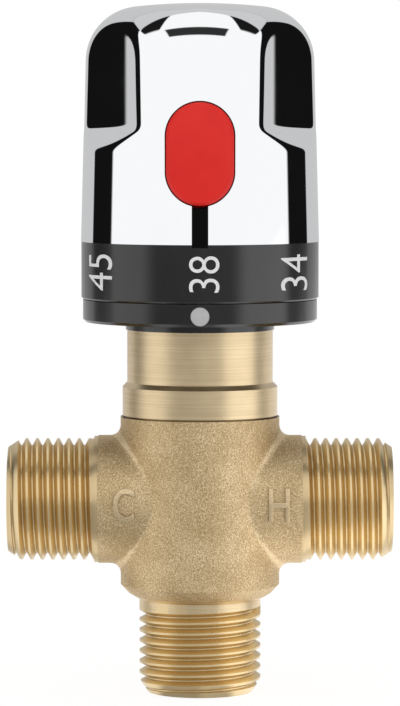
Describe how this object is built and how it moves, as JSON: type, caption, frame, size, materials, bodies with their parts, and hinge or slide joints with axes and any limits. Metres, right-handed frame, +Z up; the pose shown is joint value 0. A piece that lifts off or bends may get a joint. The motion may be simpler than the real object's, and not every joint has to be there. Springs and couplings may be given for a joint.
{
  "type": "thermostatic mixing valve",
  "caption": "Thermostatic mixing valve with three threaded ports in a tee, a chromed scale knob with scallops and a red safety button.",
  "frame": {"origin": "centre of the outlet's end face, on the spindle's axis", "axes": "+Z up the spindle to the knob, -Y to the front with the pointer dot, +X to the hot port, -X to the cold port"},
  "size_m": [0.0662, 0.0413, 0.1187],
  "materials": {
    "cast_brass": "sand cast and blasted skin, turned and threaded ends",
    "turned_brass": "turned",
    "chrome": "polished chrome plate",
    "black_moulding": "satin black moulding",
    "red_moulding": "satin red moulding",
    "grey_moulding": "moulded",
    "white_moulding": "moulded",
    "blue_moulding": "moulded",
    "rubber": "moulded rubber",
    "spring_steel": "drawn wire",
    "steel_screw": "turned steel",
    "steel_mesh": "fine perforated sheet",
    "copper": "drawn copper and brass"
  },
  "bodies": {
    "root": {"valve_body": "cast_brass", "index_collar": "black_moulding", "stop_ring": "white_moulding", "bonnet": "turned_brass", "bonnet_oring": "rubber", "return_spring": "spring_steel", "cold_check_housing": "white_moulding", "cold_check_oring": "rubber", "cold_check_spring": "spring_steel", "cold_strainer": "steel_mesh", "hot_check_housing": "white_moulding", "hot_check_oring": "rubber", "hot_check_spring": "spring_steel", "hot_strainer": "steel_mesh"},
    "knob": {"knob_cap": "chrome", "scale_ring": "black_moulding", "spline_adapter": "grey_moulding", "adapter_screw": "steel_screw", "spindle": "turned_brass", "spindle_oring": "rubber", "spindle_snap_ring": "spring_steel", "button_spring": "spring_steel"},
    "button": {"safety_button": "red_moulding"},
    "carrier": {"carrier_nut": "turned_brass", "carrier_snap_ring": "spring_steel", "thrust_cup": "turned_brass", "overtravel_spring": "spring_steel", "element_pin": "steel_screw"},
    "shuttle": {"shuttle": "white_moulding", "shuttle_oring": "rubber", "wax_element": "copper"},
    "cold_poppet": {"cold_check_poppet": "blue_moulding", "cold_poppet_washer": "rubber"},
    "hot_poppet": {"hot_check_poppet": "blue_moulding", "hot_poppet_washer": "rubber"}
  },
  "joints": [
    {"name": "knob_turn", "type": "hinge", "parent": "root", "child": "knob", "pos_m": [0, 0, 0.09], "axis": [0, 0, 1], "range_deg": [-160, 61]},
    {"name": "button_press", "type": "slide", "parent": "knob", "child": "button", "axis": [0, 1, 0], "range_m": [0, 0.0015], "stiffness_N_per_m": 900, "springref_m": -0.003, "deforming": ["button_spring"]},
    {"name": "carrier_lift", "type": "slide", "parent": "root", "child": "carrier", "axis": [0, 0, 1], "range_m": [-0.0014, 0.0006], "stiffness_N_per_m": 0.05, "springref_m": 2.618},
    {"name": "shuttle_slide", "type": "slide", "parent": "root", "child": "shuttle", "axis": [0, 0, 1], "range_m": [-0.00075, 0.00075], "stiffness_N_per_m": 2000, "deforming": ["return_spring"]},
    {"name": "cold_check_slide", "type": "slide", "parent": "root", "child": "cold_poppet", "axis": [1, 0, 0], "range_m": [0, 0.0022], "stiffness_N_per_m": 60, "springref_m": -0.002, "deforming": ["cold_check_spring"]},
    {"name": "hot_check_slide", "type": "slide", "parent": "root", "child": "hot_poppet", "axis": [-1, 0, 0], "range_m": [0, 0.0022], "stiffness_N_per_m": 60, "springref_m": -0.002, "deforming": ["hot_check_spring"]}
  ],
  "couplings": [
    {"joint": "carrier_lift", "follows": "knob_turn", "m_per_rad": 0.00047746}
  ]
}
